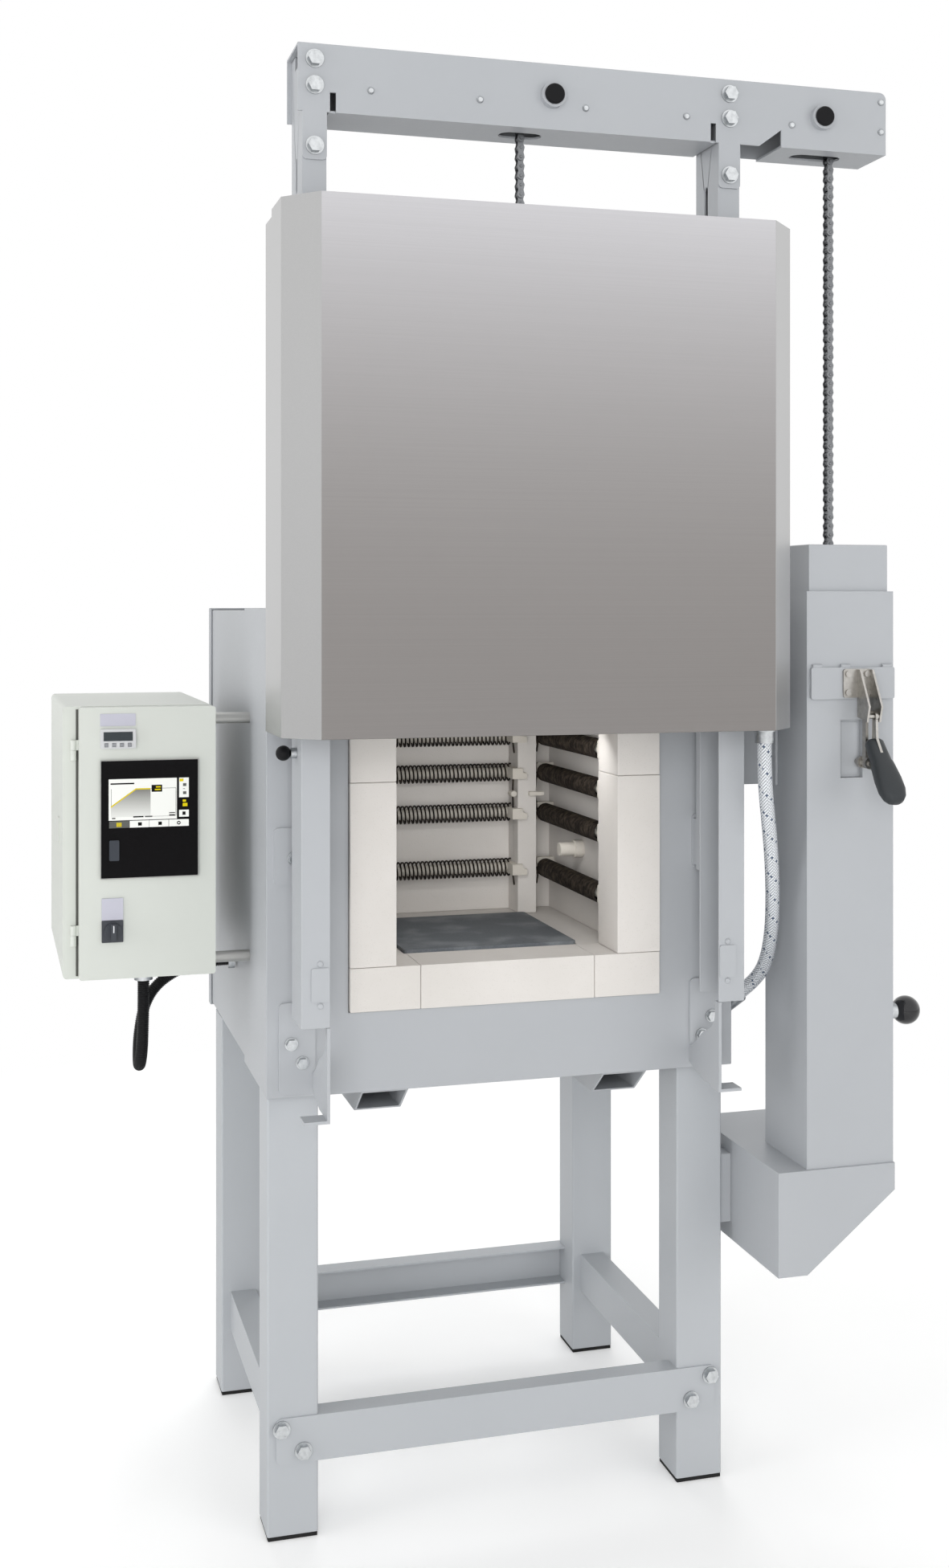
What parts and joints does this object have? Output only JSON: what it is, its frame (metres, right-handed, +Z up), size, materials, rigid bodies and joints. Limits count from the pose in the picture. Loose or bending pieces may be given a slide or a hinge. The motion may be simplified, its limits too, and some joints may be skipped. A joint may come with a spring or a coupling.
{
  "type": "chamber furnace",
  "caption": "Chamber furnace on a stand, with a counterweighted lift door, brick-lined heated chamber, chain drive in an overhead beam and a side control cabinet.",
  "frame": {"origin": "centre of the stand's footprint, on the floor", "axes": "+X to the user's right, +Y away from the user, +Z up"},
  "size_m": [1.2035, 0.8225, 1.993],
  "materials": {
    "stand_paint": "satin",
    "body_paint": "satin",
    "cabinet_paint": "satin",
    "stainless": "satin",
    "zinc": "satin",
    "chain_steel": "satin",
    "refractory": "matte",
    "fibre": "matte",
    "coil_wire": "matte",
    "silicon_carbide": "matte",
    "braid": "satin",
    "black_plastic": "matte",
    "gloss_black": "gloss",
    "wheel_plastic": "satin",
    "light_plastic": "satin",
    "pad_rubber": "matte"
  },
  "bodies": {
    "furnace": {"stand_legs": "stand_paint", "foot_pads": "pad_rubber", "stand_rails": "stand_paint", "hex_bolts": "zinc", "front_casing": "body_paint", "rear_casing": "body_paint", "skid_tubes": "body_paint", "backup_insulation": "fibre", "collar_bricks": "refractory", "chamber_bricks": "refractory", "chamber_coils": "coil_wire", "ceramic_tubes": "refractory", "hearth_plate": "silicon_carbide", "guide_rails": "body_paint", "posts": "body_paint", "guide_brackets": "body_paint", "beam": "body_paint", "beam_screws": "zinc", "axles": "black_plastic", "chain_top": "chain_steel", "chain_door_run": "chain_steel", "chain_weight_run": "chain_steel", "plunger_body": "zinc", "column_tube": "body_paint", "column_cover": "body_paint", "console": "body_paint", "clamp_base": "zinc", "cabinet_housing": "cabinet_paint", "cabinet_hinges": "zinc", "cabinet_supports": "stainless", "cable_glands": "zinc", "cabinet_conduit": "black_plastic", "door_hose": "braid"},
    "door": {"door_casing": "stainless", "door_frame": "body_paint", "door_insulation": "fibre", "door_coils": "coil_wire", "hose_fitting": "zinc"},
    "wheel_lower_left": {"wheel_lower_left": "wheel_plastic"},
    "wheel_lower_right": {"wheel_lower_right": "wheel_plastic"},
    "wheel_upper_left": {"wheel_upper_left": "wheel_plastic"},
    "wheel_upper_right": {"wheel_upper_right": "wheel_plastic"},
    "sprocket_left": {"sprocket_left": "chain_steel"},
    "sprocket_right": {"sprocket_right": "chain_steel"},
    "counterweight": {"counterweight": "zinc", "weight_handle_ball": "gloss_black"},
    "clamp_arm": {"clamp_arm": "zinc"},
    "clamp_handle": {"clamp_handle": "zinc", "clamp_grip": "black_plastic"},
    "plunger": {"plunger_knob": "black_plastic"},
    "cabinet_door": {"cabinet_door": "cabinet_paint", "controller_panel": "gloss_black", "limiter": "light_plastic", "front_plates": "black_plastic"},
    "usb_flap": {"usb_flap": "black_plastic"},
    "switch_knob": {"switch_knob": "black_plastic"},
    "key_1": {"limiter_key_1": "light_plastic"},
    "key_2": {"limiter_key_2": "light_plastic"},
    "key_3": {"limiter_key_3": "light_plastic"},
    "key_4": {"limiter_key_4": "light_plastic"}
  },
  "joints": [
    {"name": "door_slide", "type": "slide", "parent": "furnace", "child": "door", "axis": [0, 0, 1], "range_m": [-0.49, 0], "deforming": ["chain_door_run", "door_hose"]},
    {"name": "counterweight_slide", "type": "slide", "parent": "furnace", "child": "counterweight", "axis": [0, 0, 1], "range_m": [0, 0.49], "deforming": ["chain_weight_run"]},
    {"name": "sprocket_left_spin", "type": "hinge", "parent": "furnace", "child": "sprocket_left", "pos_m": [0.03255, -0.345, 1.95], "axis": [0, 1, 0], "range_deg": [-864, 2]},
    {"name": "sprocket_right_spin", "type": "hinge", "parent": "furnace", "child": "sprocket_right", "pos_m": [0.42945, -0.345, 1.95], "axis": [0, 1, 0], "range_deg": [-864, 2]},
    {"name": "wheel_lower_left_roll", "type": "hinge", "parent": "door", "child": "wheel_lower_left", "pos_m": [-0.292, -0.361, 1.292], "axis": [1, 0, 0], "range_deg": [-2, 902]},
    {"name": "wheel_lower_right_roll", "type": "hinge", "parent": "door", "child": "wheel_lower_right", "pos_m": [0.292, -0.361, 1.292], "axis": [1, 0, 0], "range_deg": [-2, 902]},
    {"name": "wheel_upper_left_roll", "type": "hinge", "parent": "door", "child": "wheel_upper_left", "pos_m": [-0.292, -0.361, 1.702], "axis": [1, 0, 0], "range_deg": [-902, 2]},
    {"name": "wheel_upper_right_roll", "type": "hinge", "parent": "door", "child": "wheel_upper_right", "pos_m": [0.292, -0.361, 1.702], "axis": [1, 0, 0], "range_deg": [-902, 2]},
    {"name": "clamp_handle_hinge", "type": "hinge", "parent": "furnace", "child": "clamp_handle", "pos_m": [0.482, -0.4455, 1.114], "axis": [1, 0, 0], "range_deg": [-75, 0]},
    {"name": "clamp_arm_hinge", "type": "hinge", "parent": "furnace", "child": "clamp_arm", "pos_m": [0.476, -0.4285, 1.118], "axis": [1, 0, 0], "range_deg": [-30, 0]},
    {"name": "plunger_pull", "type": "slide", "parent": "furnace", "child": "plunger", "axis": [-1, 0, 0], "range_m": [0, 0.005], "stiffness_N_per_m": 1500, "springref_m": -0.003},
    {"name": "cabinet_door_hinge", "type": "hinge", "parent": "furnace", "child": "cabinet_door", "pos_m": [-0.582, -0.154, 0.941], "axis": [0, 0, 1], "range_deg": [-110, 0]},
    {"name": "usb_flap_hinge", "type": "hinge", "parent": "cabinet_door", "child": "usb_flap", "pos_m": [-0.5283, -0.1752, 0.945], "axis": [1, 0, 0], "range_deg": [-90, 0]},
    {"name": "switch_turn", "type": "hinge", "parent": "cabinet_door", "child": "switch_knob", "pos_m": [-0.53, -0.17, 0.82], "axis": [0, 1, 0], "range_deg": [0, 90]},
    {"name": "key_1_press", "type": "slide", "parent": "cabinet_door", "child": "key_1", "axis": [0, 1, 0], "range_m": [0, 0.001], "stiffness_N_per_m": 400, "springref_m": -0.0005},
    {"name": "key_2_press", "type": "slide", "parent": "cabinet_door", "child": "key_2", "axis": [0, 1, 0], "range_m": [0, 0.001], "stiffness_N_per_m": 400, "springref_m": -0.0005},
    {"name": "key_3_press", "type": "slide", "parent": "cabinet_door", "child": "key_3", "axis": [0, 1, 0], "range_m": [0, 0.001], "stiffness_N_per_m": 400, "springref_m": -0.0005},
    {"name": "key_4_press", "type": "slide", "parent": "cabinet_door", "child": "key_4", "axis": [0, 1, 0], "range_m": [0, 0.001], "stiffness_N_per_m": 400, "springref_m": -0.0005}
  ],
  "couplings": [
    {"joint": "counterweight_slide", "follows": "door_slide", "ratio": -1},
    {"joint": "sprocket_left_spin", "follows": "door_slide", "rad_per_m": 30.723},
    {"joint": "sprocket_right_spin", "follows": "door_slide", "rad_per_m": 30.723},
    {"joint": "wheel_lower_left_roll", "follows": "door_slide", "rad_per_m": -32.051},
    {"joint": "wheel_lower_right_roll", "follows": "door_slide", "rad_per_m": -32.051},
    {"joint": "wheel_upper_left_roll", "follows": "door_slide", "rad_per_m": 32.051},
    {"joint": "wheel_upper_right_roll", "follows": "door_slide", "rad_per_m": 32.051},
    {"joint": "clamp_arm_hinge", "follows": "clamp_handle_hinge", "ratio": 0.4}
  ]
}
